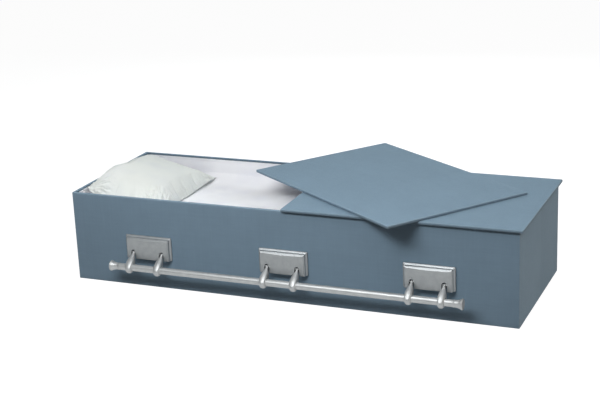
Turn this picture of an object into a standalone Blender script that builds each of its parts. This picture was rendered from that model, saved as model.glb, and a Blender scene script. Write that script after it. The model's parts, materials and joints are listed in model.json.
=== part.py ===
"""Cloth covered casket: a board box with a two panel lid, a white lining and bed, a pillow,
and a swing bar handle along each long side.

Metres, +Z up. The origin is the middle of the box's underside. +X points to the foot end and
-Y to the near side. The head lid panel lies loose, turned, on the foot lid panel.
"""
import math

import bmesh
import bpy
from mathutils import Matrix, Vector

# Box of cloth covered boards
BOX_LENGTH = 2.03
BOX_WIDTH = 0.692
BOX_HEIGHT = 0.407
BOARD = 0.013
EDGE_ROUND = 0.0015
TOUCH_GAP = 0.0003

# Lid panels, which rest on the rim and stand out past it
LID_THICKNESS = 0.0125
LID_OVERHANG = 0.014
HEAD_LID_CENTRE_X = 0.307
HEAD_LID_CENTRE_Y = 0.108
HEAD_LID_TURN = math.radians(144.4)

# White interior
LINING = 0.003
LINING_DROP = 0.008
BED_DEPTH = 0.107
BED_GAP = 0.001
BED_EDGE_ROUND = 0.018
PILLOW_WIDTH = 0.565
PILLOW_DEPTH = 0.375
PILLOW_CROWN = 0.092
PILLOW_BELLY = 0.050
PILLOW_RISE = 0.0586
PILLOW_TILT = math.radians(14.3)
PILLOW_HEAD_GAP = 0.010
PILLOW_SHIFT_Y = 0.022
PILLOW_PULL_IN = 0.055
PILLOW_CREST_SHIFT = -0.3
PILLOW_NEAR_SAG = 0.03
PILLOW_CELLS = 10

# Handle plates
PLATE_LENGTH = 0.223
PLATE_HEIGHT = 0.105
PLATE_DEPTH = 0.026
PLATE_BASE_Z = 0.132
PLATE_END_SPACE = 0.2615
PLATE_CORNER = 0.004
PLATE_WALL = 0.003
RIM_WIDTH = 0.0045
RIM_DEPTH = 0.0075
FACE_SLOPE = 0.0065
BASE_INSET_SHARE = 0.2
NOTCH_CHEEK = 0.008

# Arms, which turn on cross pins held in the cheeks behind the plate's face
ARM_SPREAD = 0.138
PIVOT_ABOVE_PLATE_BASE = 0.030
PIN_COVER = 0.004
PIN_RADIUS = 0.005
PIN_SIDES = 10
PIN_RECESS = 0.001
PIN_PLAY = 0.0004
NOTCH_WIDTH = 0.020
NOTCH_FLARE = 0.0025
NOTCH_RISE = 0.011
NECK_CLEARANCE = 0.0028
NECK_THICKNESS = 0.009
HEEL_WIDTH = 0.009
HEEL_DROP = 0.014
ARM_WIDTH = 0.034
ARM_WALL = 0.0042
ARM_BOW = 0.005
ARM_SWELL_START = 0.10
ARM_WIDEST_SHARE = 0.56
ARM_BAR_SHARE = 0.74
ARM_LAST_SHARE = 0.985
ARM_RINGS = 9
ARM_SIDES = 10

# Carrying bar and its end tips
BAR_RADIUS = 0.015
BAR_WALL = 0.0015
BAR_REACH = 0.0499
BAR_DROP = 0.055
BAR_OVERHANG = 0.0495
BAR_SIDES = 20
TIP_LENGTH = 0.044
TIP_RADIUS = 0.0235
TIP_COLLAR = 0.0022
TIP_SPIGOT = 0.015
TIP_SIDES = 14

# Places that follow from the sizes above
INNER_X = BOX_LENGTH / 2 - BOARD
INNER_Y = BOX_WIDTH / 2 - BOARD
LINED_X = INNER_X - TOUCH_GAP - LINING
LINED_Y = INNER_Y - TOUCH_GAP - LINING
LID_BOTTOM = BOX_HEIGHT + TOUCH_GAP
LID_LENGTH = BOX_LENGTH / 2 + LID_OVERHANG
LID_WIDTH = BOX_WIDTH + 2 * LID_OVERHANG
BED_BOTTOM = BOARD + TOUCH_GAP
BED_TOP = BOX_HEIGHT - BED_DEPTH
PLATE_CENTRE_Z = PLATE_BASE_Z + PLATE_HEIGHT / 2
PIVOT_OUT = PLATE_DEPTH - PIN_COVER - PIN_RADIUS - PIN_PLAY
PIVOT_Z = PLATE_BASE_Z + PIVOT_ABOVE_PLATE_BASE
PLATE_SPACING = BOX_LENGTH / 2 - PLATE_END_SPACE - PLATE_LENGTH / 2
BAR_HALF = PLATE_SPACING + ARM_SPREAD / 2 + BAR_OVERHANG

CLOTH_BLUE = (0.155, 0.215, 0.275)
LINING_WHITE = (0.84, 0.84, 0.88)
PILLOW_WHITE = (0.80, 0.83, 0.79)
SATIN_SILVER = (0.56, 0.58, 0.59)


def clear_scene():
    for old in list(bpy.data.objects):
        bpy.data.objects.remove(old, do_unlink=True)


def new_material(name, colour, roughness, metallic):
    material = bpy.data.materials.new(name)
    material.use_nodes = True
    shader = material.node_tree.nodes["Principled BSDF"]
    shader.inputs["Base Color"].default_value = (*colour, 1.0)
    shader.inputs["Roughness"].default_value = roughness
    shader.inputs["Metallic"].default_value = metallic
    material.diffuse_color = (*colour, 1.0)
    return material


def cloth(name):
    return new_material(name + "_cloth", CLOTH_BLUE, 0.85, 0.0)


def metal(name):
    return new_material(name + "_metal", SATIN_SILVER, 0.38, 0.85)


def new_mesh(name, bm, turn_out=True):
    """Turn a bmesh into a mesh with its faces pointing out."""
    if turn_out:
        bmesh.ops.recalc_face_normals(bm, faces=bm.faces)
    mesh = bpy.data.meshes.new(name)
    bm.to_mesh(mesh)
    bm.free()
    return mesh


def place(name, mesh, material=None, location=(0, 0, 0), turn=0.0, parent=None):
    """Add a named object, turned about Z."""
    obj = bpy.data.objects.new(name, mesh)
    bpy.context.scene.collection.objects.link(obj)
    obj.location = location
    obj.rotation_euler = (0, 0, turn)
    obj.parent = parent
    if material:
        obj.data.materials.clear()
        obj.data.materials.append(material)
    return obj


def box_bm(low, high):
    """A box between two corners."""
    low, high = Vector(low), Vector(high)
    bm = bmesh.new()
    bmesh.ops.create_cube(bm, size=1.0)
    size = high - low
    bmesh.ops.scale(bm, vec=size, verts=bm.verts)
    bmesh.ops.translate(bm, vec=(low + high) / 2, verts=bm.verts)
    return bm


def loft_bm(rings):
    """Join rings of equal point counts with quads and close both ends."""
    bm = bmesh.new()
    loops = [[bm.verts.new(point) for point in ring] for ring in rings]
    count = len(loops[0])
    for lower, upper in zip(loops, loops[1:]):
        for i in range(count):
            j = (i + 1) % count
            bm.faces.new((lower[i], lower[j], upper[j], upper[i]))
    bm.faces.new(reversed(loops[0]))
    bm.faces.new(loops[-1])
    return bm


def cylinder_bm(radius, half_length, sides):
    """A cylinder along X, centred on the origin."""
    rings = []
    for x in (-half_length, half_length):
        angles = [2 * math.pi * i / sides for i in range(sides)]
        rings.append([Vector((x, radius * math.cos(a), radius * math.sin(a))) for a in angles])
    return loft_bm(rings)


def round_edges(obj, width, segments=1):
    bevel = obj.modifiers.new("round_edges", "BEVEL")
    bevel.width = width
    bevel.segments = segments
    bevel.limit_method = "ANGLE"


def combine(obj, tool_mesh, operation):
    """Add a Boolean with a hidden wire tool."""
    tool = place(obj.name + "_tool", tool_mesh)
    tool.hide_render = True
    tool.display_type = "WIRE"
    boolean = obj.modifiers.new("combine", "BOOLEAN")
    boolean.operation = operation
    boolean.solver = "EXACT"
    boolean.object = tool
    return tool


def finished(obj, tools):
    """Return the object's evaluated mesh, then drop the object and its tools."""
    bpy.context.view_layer.update()
    depsgraph = bpy.context.evaluated_depsgraph_get()
    mesh = bpy.data.meshes.new_from_object(obj.evaluated_get(depsgraph))
    for used in [obj, *tools]:
        bpy.data.objects.remove(used, do_unlink=True)
    return mesh


def smooth(mesh, degrees=35):
    mesh.shade_smooth()
    mesh.set_sharp_from_angle(angle=math.radians(degrees))
    return mesh


def board(name, low, high):
    """One covered board, with the cloth's thickness counted in it."""
    centre = (Vector(low) + Vector(high)) / 2
    mesh = new_mesh(name, box_bm(Vector(low) - centre, Vector(high) - centre))
    obj = place(name, mesh, cloth(name), centre)
    round_edges(obj, EDGE_ROUND)
    return obj


def make_box():
    """Full length sides, ends and floor held between them."""
    half_x, half_y = BOX_LENGTH / 2, BOX_WIDTH / 2
    held_x, held_y = INNER_X - TOUCH_GAP, INNER_Y - TOUCH_GAP
    board("floor_board", (-held_x, -held_y, 0), (held_x, held_y, BOARD))
    board("near_side_board", (-half_x, -half_y, 0), (half_x, -INNER_Y, BOX_HEIGHT))
    board("far_side_board", (-half_x, INNER_Y, 0), (half_x, half_y, BOX_HEIGHT))
    board("head_end_board", (-half_x, -held_y, 0), (-INNER_X, held_y, BOX_HEIGHT))
    board("foot_end_board", (INNER_X, -held_y, 0), (half_x, held_y, BOX_HEIGHT))


def make_lid_panel(name, centre_x, centre_y, bottom, turn):
    half = Vector((LID_LENGTH / 2, LID_WIDTH / 2, LID_THICKNESS / 2))
    mesh = new_mesh(name, box_bm(-half, half))
    location = (centre_x, centre_y, bottom + LID_THICKNESS / 2)
    obj = place(name, mesh, cloth(name), location, turn)
    round_edges(obj, EDGE_ROUND)
    return obj


def make_lids():
    """The foot panel in its place, the head panel laid loose across it."""
    make_lid_panel("foot_lid_panel", LID_LENGTH / 2, 0, LID_BOTTOM, 0)
    loose_bottom = LID_BOTTOM + LID_THICKNESS + TOUCH_GAP
    make_lid_panel("head_lid_panel", HEAD_LID_CENTRE_X, HEAD_LID_CENTRE_Y, loose_bottom,
                   HEAD_LID_TURN)


def rectangle(half_x, half_y, z):
    corners = ((-1, -1), (1, -1), (1, 1), (-1, 1))
    return [Vector((half_x * x, half_y * y, z)) for x, y in corners]


def make_lining():
    """Cloth along the four walls, from just under the rim down behind the bed."""
    outer_x, outer_y = INNER_X - TOUCH_GAP, INNER_Y - TOUCH_GAP
    top = BOX_HEIGHT - LINING_DROP
    bm = bmesh.new()
    outlines = (rectangle(outer_x, outer_y, BED_BOTTOM), rectangle(outer_x, outer_y, top),
                rectangle(LINED_X, LINED_Y, top), rectangle(LINED_X, LINED_Y, BED_BOTTOM))
    loops = [[bm.verts.new(point) for point in outline] for outline in outlines]
    for first, second in zip(loops, loops[1:] + loops[:1]):
        for i in range(4):
            j = (i + 1) % 4
            bm.faces.new((first[i], first[j], second[j], second[i]))
    mesh = new_mesh("wall_lining", bm)
    place("wall_lining", mesh, new_material("lining_crepe", LINING_WHITE, 0.8, 0.0))


def make_bed():
    """Padded bed that fills the box up to the height that shows."""
    half_x, half_y = LINED_X - BED_GAP, LINED_Y - BED_GAP
    centre_z = (BED_BOTTOM + BED_TOP) / 2
    half_z = (BED_TOP - BED_BOTTOM) / 2
    mesh = new_mesh("mattress", box_bm((-half_x, -half_y, -half_z), (half_x, half_y, half_z)))
    obj = place("mattress", mesh, new_material("bed_crepe", LINING_WHITE, 0.8, 0.0),
                (0, 0, centre_z))
    round_edges(obj, BED_EDGE_ROUND, 3)


def pillow_point(u, v, side):
    """A cushion's surface over the square -1..1, with edges pulled in between the corners.

    The crown is highest a little to the near side, where the edge sags against the wall.
    """
    x = PILLOW_DEPTH / 2 * u * (1 - PILLOW_PULL_IN * (1 - v * v) * u * u)
    y = PILLOW_WIDTH / 2 * v * (1 - PILLOW_PULL_IN * (1 - u * u) * v * v)
    off_crest = v - PILLOW_CREST_SHIFT
    reach = 1 - math.copysign(PILLOW_CREST_SHIFT, off_crest * PILLOW_CREST_SHIFT)
    across = 1 - (off_crest / reach) ** 2
    along = 1 - u ** 6
    height = PILLOW_CROWN if side > 0 else -PILLOW_BELLY
    sag = PILLOW_NEAR_SAG * max(0.0, -v) ** 3 * along
    return Vector((x, y, height * max(0.0, across * along) ** 0.8 - sag))


def pillow_bm():
    """Two crowned faces that share one seam."""
    cells = PILLOW_CELLS
    steps = [math.sin(math.pi / 2 * (2 * i / cells - 1)) for i in range(cells + 1)]
    bm = bmesh.new()
    seam = {}
    for side in (1, -1):
        grid = {}
        for i, u in enumerate(steps):
            for j, v in enumerate(steps):
                if i in (0, cells) or j in (0, cells):
                    if (i, j) not in seam:
                        seam[i, j] = bm.verts.new(pillow_point(u, v, side))
                    grid[i, j] = seam[i, j]
                else:
                    grid[i, j] = bm.verts.new(pillow_point(u, v, side))
        for i in range(cells):
            for j in range(cells):
                face = (grid[i, j], grid[i + 1, j], grid[i + 1, j + 1], grid[i, j + 1])
                bm.faces.new(face if side > 0 else reversed(face))
    return bm


def make_pillow():
    """The pillow leans up to the head end and lies flat where it meets the bed."""
    bm = pillow_bm()
    bmesh.ops.rotate(bm, cent=(0, 0, 0), matrix=Matrix.Rotation(PILLOW_TILT, 3, "Y"),
                     verts=bm.verts)
    for vert in bm.verts:
        vert.co.z = max(vert.co.z, TOUCH_GAP - PILLOW_RISE)
    headmost = min(vert.co.x for vert in bm.verts)
    mesh = smooth(new_mesh("pillow", bm, turn_out=False), 60)
    place("pillow", mesh, new_material("pillow_cotton", PILLOW_WHITE, 0.75, 0.0),
          (-LINED_X + PILLOW_HEAD_GAP - headmost, PILLOW_SHIFT_Y, BED_TOP + PILLOW_RISE))


def rounded_ring(inset, depth):
    """The plate's outline, set in by a given amount, at a depth out from the box.

    Along the lower edge it is set in by less.
    """
    half_x = PLATE_LENGTH / 2 - inset
    top = PLATE_HEIGHT / 2 - inset
    base = PLATE_HEIGHT / 2 - inset * BASE_INSET_SHARE
    radius = max(PLATE_CORNER - inset, PLATE_CORNER / 4)
    corners = ((half_x, top), (-half_x, top), (-half_x, -base), (half_x, -base))
    ring = []
    for quarter, (x, z) in enumerate(corners):
        for step in range(3):
            angle = math.pi / 2 * (quarter + step / 2)
            ring.append(Vector((x - math.copysign(radius, x) + radius * math.cos(angle), -depth,
                                z - math.copysign(radius, z) + radius * math.sin(angle))))
    return ring


def prism(bm, outline, front, back):
    """Add an outline in X and Z, drawn out between two Y places."""
    loops = [[bm.verts.new((x, y, z)) for x, z in outline] for y in (front, back)]
    for i in range(len(outline)):
        j = (i + 1) % len(outline)
        bm.faces.new((loops[0][i], loops[0][j], loops[1][j], loops[1][i]))
    bm.faces.new(loops[0])
    bm.faces.new(reversed(loops[1]))


def arch_bm():
    """Prism of the two notches' outline: round above, a little wider below."""
    radius = NOTCH_WIDTH / 2
    top = PIVOT_Z - PLATE_CENTRE_Z + NOTCH_RISE
    below = -PLATE_HEIGHT
    bm = bmesh.new()
    for side in (-1, 1):
        centre = side * ARM_SPREAD / 2
        angles = [math.pi * i / 6 for i in range(7)]
        outline = [(centre + radius * math.cos(a), top - radius + radius * math.sin(a))
                   for a in angles]
        flare = NOTCH_FLARE * (top - radius - below) / (PLATE_HEIGHT / 2)
        outline += [(centre - radius - flare, below), (centre + radius + flare, below)]
        prism(bm, outline, -2 * PLATE_DEPTH, PLATE_DEPTH)
    return bm


def pin_bore_bm(side):
    """The bore of one pin, through the cheeks on both sides of its notch."""
    half = NOTCH_WIDTH / 2 + NOTCH_CHEEK * 1.5
    bm = cylinder_bm(PIN_RADIUS + PIN_PLAY, half, PIN_SIDES)
    centre = (side * ARM_SPREAD / 2, -PIVOT_OUT, PIVOT_Z - PLATE_CENTRE_Z)
    bmesh.ops.translate(bm, vec=centre, verts=bm.verts)
    return bm


def pocket_bm():
    """The hollow in the plate's back, which leaves a wall all round and a cheek by each notch."""
    side = PLATE_LENGTH / 2 - RIM_WIDTH - FACE_SLOPE - PLATE_WALL
    top = PLATE_HEIGHT / 2 - RIM_WIDTH - FACE_SLOPE - PLATE_WALL
    base = -PLATE_HEIGHT / 2 + PLATE_WALL + BASE_INSET_SHARE * (RIM_WIDTH + FACE_SLOPE)
    over = PIVOT_Z - PLATE_CENTRE_Z + NOTCH_RISE + PLATE_WALL
    cheek = NOTCH_WIDTH / 2 + NOTCH_CHEEK
    outline = [(-side, top), (-side, base)]
    for centre in (-ARM_SPREAD / 2, ARM_SPREAD / 2):
        outline += [(centre - cheek, base), (centre - cheek, over),
                    (centre + cheek, over), (centre + cheek, base)]
    outline += [(side, base), (side, top)]
    bm = bmesh.new()
    prism(bm, outline, -(PLATE_DEPTH - PLATE_WALL), PLATE_DEPTH)
    return bm


def plate_mesh():
    """A hollow plate with a lip, a raised face, and two notches with a bored cheek each side."""
    rise = PLATE_DEPTH - RIM_DEPTH
    rows = ((0, 0), (0, RIM_DEPTH * 0.7), (RIM_WIDTH * 0.4, RIM_DEPTH), (RIM_WIDTH, RIM_DEPTH),
            (RIM_WIDTH + FACE_SLOPE * 0.3, RIM_DEPTH + rise * 0.72),
            (RIM_WIDTH + FACE_SLOPE, PLATE_DEPTH))
    mesh = new_mesh("plate", loft_bm([rounded_ring(inset, depth) for inset, depth in rows]))
    obj = place("plate", mesh)
    tools = [combine(obj, new_mesh("pocket", pocket_bm()), "DIFFERENCE"),
             combine(obj, new_mesh("notches", arch_bm()), "DIFFERENCE")]
    for side in (-1, 1):
        tools.append(combine(obj, new_mesh("pin_bore", pin_bore_bm(side)), "DIFFERENCE"))
    return smooth(finished(obj, tools), 30)


def spine(share):
    """A point on the arm's middle line, in its outward and up plane, with its direction.

    Share 0 is the pivot and ARM_BAR_SHARE the middle of the bar; the line bows outward.
    """
    run = Vector((BAR_REACH, -BAR_DROP))
    along = run.normalized()
    across = Vector((-along.y, along.x))
    q = share / ARM_BAR_SHARE
    point = run * q + across * (4 * ARM_BOW * q * (1 - q))
    direction = (run + across * (4 * ARM_BOW * (1 - 2 * q))).normalized()
    return point, direction


def ease(t):
    t = min(max(t, 0.0), 1.0)
    return t * t * (3 - 2 * t)


def closing(share, start):
    """1 up to the start, then round to 0 at the arm's end."""
    return (1 - (max(share - start, 0.0) / (1 - start)) ** 3) ** 0.45


def arm_ring(share):
    """An oval across the arm: slim at the neck, full above the bar, closing at the tip."""
    swell = ease((share - ARM_SWELL_START) / (ARM_WIDEST_SHARE - ARM_SWELL_START))
    neck_half = NOTCH_WIDTH / 2 - NECK_CLEARANCE
    half_x = neck_half + (ARM_WIDTH / 2 - neck_half) * swell
    half_x *= closing(share, ARM_WIDEST_SHARE)
    full = BAR_RADIUS + ARM_WALL
    half_n = NECK_THICKNESS / 2 + (full - NECK_THICKNESS / 2) * swell
    half_n *= closing(share, ARM_BAR_SHARE)
    point, direction = spine(share)
    normal = Vector((-direction.y, direction.x))
    ring = []
    for i in range(ARM_SIDES):
        angle = 2 * math.pi * i / ARM_SIDES
        out, up = point + normal * (half_n * math.sin(angle))
        ring.append(Vector((half_x * math.cos(angle), -out, up)))
    return ring


def arm_mesh():
    """A horn shaped arm with its cross pin, a heel that stops it, and the bar's hole."""
    steps = [math.pi / 2 * i / (ARM_RINGS - 1) for i in range(ARM_RINGS)]
    shares = [ARM_LAST_SHARE * math.sin(step) for step in steps]
    obj = place("arm", new_mesh("arm", loft_bm([arm_ring(share) for share in shares])))
    half = NOTCH_WIDTH / 2 + NOTCH_CHEEK - PIN_RECESS
    pin = new_mesh("pin", cylinder_bm(PIN_RADIUS, half, PIN_SIDES))
    heel = new_mesh("heel", box_bm((-HEEL_WIDTH / 2, 0, -HEEL_DROP),
                                   (HEEL_WIDTH / 2, PIVOT_OUT - TOUCH_GAP, 0)))
    hole = cylinder_bm(BAR_RADIUS + TOUCH_GAP, ARM_WIDTH, BAR_SIDES)
    bmesh.ops.translate(hole, vec=(0, -BAR_REACH, -BAR_DROP), verts=hole.verts)
    tools = [combine(obj, pin, "UNION"), combine(obj, heel, "UNION"),
             combine(obj, new_mesh("hole", hole), "DIFFERENCE")]
    return smooth(finished(obj, tools), 40)


def bar_mesh():
    """A tube, open at both ends."""
    obj = place("bar", new_mesh("bar", cylinder_bm(BAR_RADIUS, BAR_HALF, BAR_SIDES)))
    bore = new_mesh("bore", cylinder_bm(BAR_RADIUS - BAR_WALL, BAR_HALF * 1.1, BAR_SIDES))
    return smooth(finished(obj, [combine(obj, bore, "DIFFERENCE")]), 30)


def tip_mesh():
    """A flared cap with a collar, and a spigot that enters the bar."""
    collar = BAR_RADIUS + TIP_COLLAR
    flare = TIP_RADIUS - BAR_RADIUS
    rows = ((-TIP_SPIGOT, BAR_RADIUS - BAR_WALL - TOUCH_GAP),
            (0, BAR_RADIUS - BAR_WALL - TOUCH_GAP), (0, collar),
            (TIP_LENGTH * 0.10, collar), (TIP_LENGTH * 0.16, BAR_RADIUS),
            (TIP_LENGTH * 0.45, BAR_RADIUS + flare * 0.18),
            (TIP_LENGTH * 0.70, BAR_RADIUS + flare * 0.60),
            (TIP_LENGTH * 0.86, TIP_RADIUS), (TIP_LENGTH * 0.97, BAR_RADIUS + flare * 0.85),
            (TIP_LENGTH, BAR_RADIUS))
    rings = []
    for x, radius in rows:
        angles = [2 * math.pi * i / TIP_SIDES for i in range(TIP_SIDES)]
        rings.append([Vector((x, radius * math.cos(a), radius * math.sin(a))) for a in angles])
    return smooth(new_mesh("tip", loft_bm(rings)), 40)


def own_metal(mesh, name):
    """A copy of a shared shape in a piece's own metal."""
    return place(name, mesh.copy(), metal(name))


def make_handle(side, turn, plate, arm, bar, tip):
    """Three plates on the box, and a bar on six arms that swings about one line."""
    out = -1 if side == "near" else 1
    wall_y = out * (BOX_WIDTH / 2 + TOUCH_GAP)
    pivot = bpy.data.objects.new(side + "_swing_line", None)
    bpy.context.scene.collection.objects.link(pivot)
    pivot.location = (0, out * (BOX_WIDTH / 2 + TOUCH_GAP + PIVOT_OUT), PIVOT_Z)
    pivot.rotation_euler = (0, 0, turn)
    flip = -out
    for place_name, station in (("head", -1), ("middle", 0), ("foot", 1)):
        x = station * PLATE_SPACING
        holder = own_metal(plate, f"{side}_{place_name}_plate")
        holder.location = (x, wall_y, PLATE_CENTRE_Z)
        holder.rotation_euler = (0, 0, turn)
        for number, half in ((1, -0.5), (2, 0.5)):
            carrier = own_metal(arm, f"{side}_{place_name}_arm_{number}")
            carrier.parent = pivot
            carrier.location = (flip * (x + half * ARM_SPREAD), 0, 0)
    rail = own_metal(bar, side + "_bar")
    rail.parent = pivot
    rail.location = (0, -BAR_REACH, -BAR_DROP)
    for place_name, end in (("head", -1), ("foot", 1)):
        cap = own_metal(tip, f"{side}_bar_tip_{place_name}")
        cap.parent = pivot
        cap.location = (flip * end * (BAR_HALF + TOUCH_GAP), -BAR_REACH, -BAR_DROP)
        cap.rotation_euler = (0, 0, 0 if flip * end > 0 else math.pi)


def main():
    clear_scene()
    make_box()
    make_lids()
    make_lining()
    make_bed()
    make_pillow()
    shapes = plate_mesh(), arm_mesh(), bar_mesh(), tip_mesh()
    make_handle("near", 0, *shapes)
    make_handle("far", math.pi, *shapes)


main()
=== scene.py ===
"""Cloth covered casket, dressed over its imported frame.

Metres, +Z up. +X is the foot end and -Y the near long side. The cloth cover, the lid panels,
the lining, the bed, the pillow and the handles are each modelled where their solids stand.
"""
import json
import math

import bmesh
import bpy
from mathutils import Matrix, Vector, noise


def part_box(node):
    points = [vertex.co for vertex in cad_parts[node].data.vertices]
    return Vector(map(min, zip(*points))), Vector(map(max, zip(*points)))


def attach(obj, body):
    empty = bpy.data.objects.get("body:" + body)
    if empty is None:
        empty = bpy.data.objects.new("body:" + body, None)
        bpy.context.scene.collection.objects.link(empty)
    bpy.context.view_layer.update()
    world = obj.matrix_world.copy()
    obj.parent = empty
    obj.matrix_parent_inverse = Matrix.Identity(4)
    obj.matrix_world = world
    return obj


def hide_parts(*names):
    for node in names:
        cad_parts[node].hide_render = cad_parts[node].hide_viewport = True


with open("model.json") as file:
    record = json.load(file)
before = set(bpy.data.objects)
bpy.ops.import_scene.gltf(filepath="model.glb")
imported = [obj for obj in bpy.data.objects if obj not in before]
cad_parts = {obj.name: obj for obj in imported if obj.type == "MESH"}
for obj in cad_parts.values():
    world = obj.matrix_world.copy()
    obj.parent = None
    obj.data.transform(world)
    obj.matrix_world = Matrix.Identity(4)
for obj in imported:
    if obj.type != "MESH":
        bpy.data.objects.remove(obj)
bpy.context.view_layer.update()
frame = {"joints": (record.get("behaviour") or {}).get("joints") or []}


def corners(node):
    """The lowest and the highest corner of a piece's place in the frame."""
    return [Vector(corner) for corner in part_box(node)]


def size(node):
    low, high = corners(node)
    return high - low


# Cover of glued cloth over the boards
BOX_LENGTH, BOARD, BOX_HEIGHT = size("near_side_board")
BOX_WIDTH = 2 * corners("far_side_board")[1].y
CLOTH_ROUND = 0.003
TURN_UNDER = 0.045
UNDER_HOLLOW = 0.0008
CLOTH_UNEVEN = 0.00035
SEAM_Y = 0.02
SEAM_WIDTH = 0.0022
MITRE_WIDTH = 0.0012

# Lid panels
LID_LENGTH, LID_WIDTH, LID_THICKNESS = size("foot_lid_panel")
LID_ROUND = 0.0032
LID_GRID = 0.03
LID_UNEVEN = 0.00045
LID_EDGE_UNEVEN = 0.0003
HEAD_LID_TURN = math.radians(144.4)

# White interior
LINING_THICKNESS = 0.0025
LINING_CORNER = 0.022
LINING_BEAD = 0.0022
LINING_PUFF = 0.005
LINING_RIPPLE = 0.0012
BED_SWEEP = 0.085
BED_SWEEP_SHARE = 0.97
BED_SWEEP_RISE = 0.757
BED_LIFT = 0.038
BED_SINK = 0.0022
BED_UNEVEN = 0.0022
BED_CREASE = 0.0012
RIM_SHADE_REACH = 0.09
PILLOW_CELLS = (48, 64)
PILLOW_SLACK = 0.82
PILLOW_WALL_GAP = 0.004
PILLOW_BED_GAP = 0.0006
PILLOW_WIDTH = 0.565
PILLOW_DEPTH = 0.375
PILLOW_CROWN = 0.092
PILLOW_BELLY = 0.050
PILLOW_RISE = 0.0586
PILLOW_TILT = math.radians(14.3)
PILLOW_PULL_IN = 0.055
PILLOW_CREST_SHIFT = -0.3
PILLOW_NEAR_SAG = 0.03
PILLOW_EAR = 0.022
PILLOW_FOOT_DROP = 0.010
PILLOW_FAR_LIFT = 0.005

# Handle plates. The rim's rows give inset and depth from the wall out to the chamfer's foot,
# the chamfer's rows its shares, and the face's rows inset past the chamfer and share of the sag.
PLATE_LENGTH, PLATE_DEPTH, PLATE_HEIGHT = size("near_middle_plate")
PLATE_CORNER = 0.004
PLATE_CAMBER = 0.0028
PLATE_SAG = 0.0037
PLATE_WALL = 0.003
RIM_ROWS = ((0.0, 0.0), (0.0, 0.0042), (0.0004, 0.0054), (0.0013, 0.0064), (0.0062, 0.0099),
            (0.0068, 0.0103), (0.0072, 0.0106), (0.0075, 0.0112), (0.0077, 0.0124),
            (0.0079, 0.0168), (0.0081, 0.0178), (0.0086, 0.0185))
CHAMFER_ROWS = (0.2, 0.4, 0.6, 0.75, 0.85, 0.92, 0.97, 1.0)
FACE_ROWS = ((0.0007, 0.99), (0.002, 0.96), (0.007, 0.8), (0.015, 0.5), (0.024, 0.0))
CHAMFER_WIDTH = 0.0050
CHAMFER_SOFT = 0.0004
BASE_INSET_SHARE = 0.2
POCKET_INSET = 0.014
POCKET_BASE = 0.0052

# Arms, bar and tips
ARM_SPREAD = 0.138
PIVOT_ABOVE_PLATE_BASE = 0.030
PIN_RADIUS = 0.005
PIN_COVER = 0.004
PIN_PLAY = 0.0004
PIN_NECKED = 0.0034
PIN_INTO_CHEEK = 0.007
NOTCH_WIDTH = 0.020
NOTCH_CHEEK = 0.008
NOTCH_FLARE = 0.0025
NOTCH_RISE = 0.011
NOTCH_LIP = 0.0022
NECK_HALF = 0.0058
NECK_THICKNESS = 0.009
HEEL_WIDTH = 0.009
HEEL_DROP = 0.014
ARM_WIDTH = 0.034
ARM_WALL = 0.0042
ARM_HEAD_SHARE = 0.052
ARM_CREST = 0.08
ARM_NECK_SQUARENESS = 2.2
ARM_BAR_SQUARENESS = 4.2
ARM_SWELL_START = 0.10
ARM_WIDEST_SHARE = 0.62
ARM_BAR_SHARE = 0.74
ARM_DEEPEST_SHARE = 0.70
ARM_LAST_SHARE = 0.9985
BAR_RADIUS = 0.015
BAR_WALL = 0.0015
BAR_REACH = 0.0499
BAR_DROP = 0.055
EDGE_BREAK = 0.0003
TIP_LENGTH = 0.044
TIP_RADIUS = 0.0235
TIP_SPIGOT = 0.012
TIP_COLLAR = 0.0014
TIP_COLLAR_END = 0.0062
TIP_LIP = 0.0026
TIP_FLARE_SHARE = 0.86
FIT_GAP = 0.0003

# Colours of the finishes and lights
COVER_BLUE = (0.188, 0.278, 0.362)
COVER_PALE = (0.36, 0.46, 0.53)
COVER_SHEEN = (0.58, 0.80, 0.95)
BARE_BOARD = (0.30, 0.245, 0.18)
LID_FACING = (0.72, 0.72, 0.74)
# Painted shade: the walls' lining is the bed's white cloth made darker, as the walls take less
# light.
LINING_SHADED_WHITE = (0.835, 0.84, 0.87)
BED_WHITE = (0.935, 0.94, 0.965)
PILLOW_WHITE = (0.775, 0.805, 0.775)
COOL_PATCH = (0.94, 0.945, 0.975)
SILVER_DULL = (0.305, 0.326, 0.336)
SILVER_BRIGHT = (0.358, 0.378, 0.388)
# Painted light: a lighter, less metallic copy of the plates' satin silver for the arms, bar and
# tips, so they read as lit.
LIT_SILVER_DULL = (0.46, 0.48, 0.485)
LIT_SILVER_BRIGHT = (0.52, 0.54, 0.545)
PAPER_DARK = (0.20, 0.20, 0.20)
PAPER_LIGHT = (0.22, 0.22, 0.22)
WHITE = (1.0, 1.0, 1.0)
COOL_LIGHT = (0.88, 0.97, 1.0)
WARM_LIGHT = (1.0, 0.82, 0.69)

# The photograph's view
CAMERA_PLACE = (2.2238, -5.3574, 2.1807)
CAMERA_AZIMUTH = 0.4031
CAMERA_ELEVATION = 0.3054
CAMERA_ROLL = -0.0414
FOCAL_PIXELS = 1379.71
PICTURE_PIXELS = 600
SENSOR_WIDTH = 36.0

# Studio
FLOOR_HALF = 14.0
FLOOR_DROP = 0.0005
FLOOR_GLOW = 0.94
WALL_RADIUS = 13.5
WALL_LOW = -0.1
WALL_HIGH = 14.0
WORLD_GLOW = 0.10


# Shader signals and finishes

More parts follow.
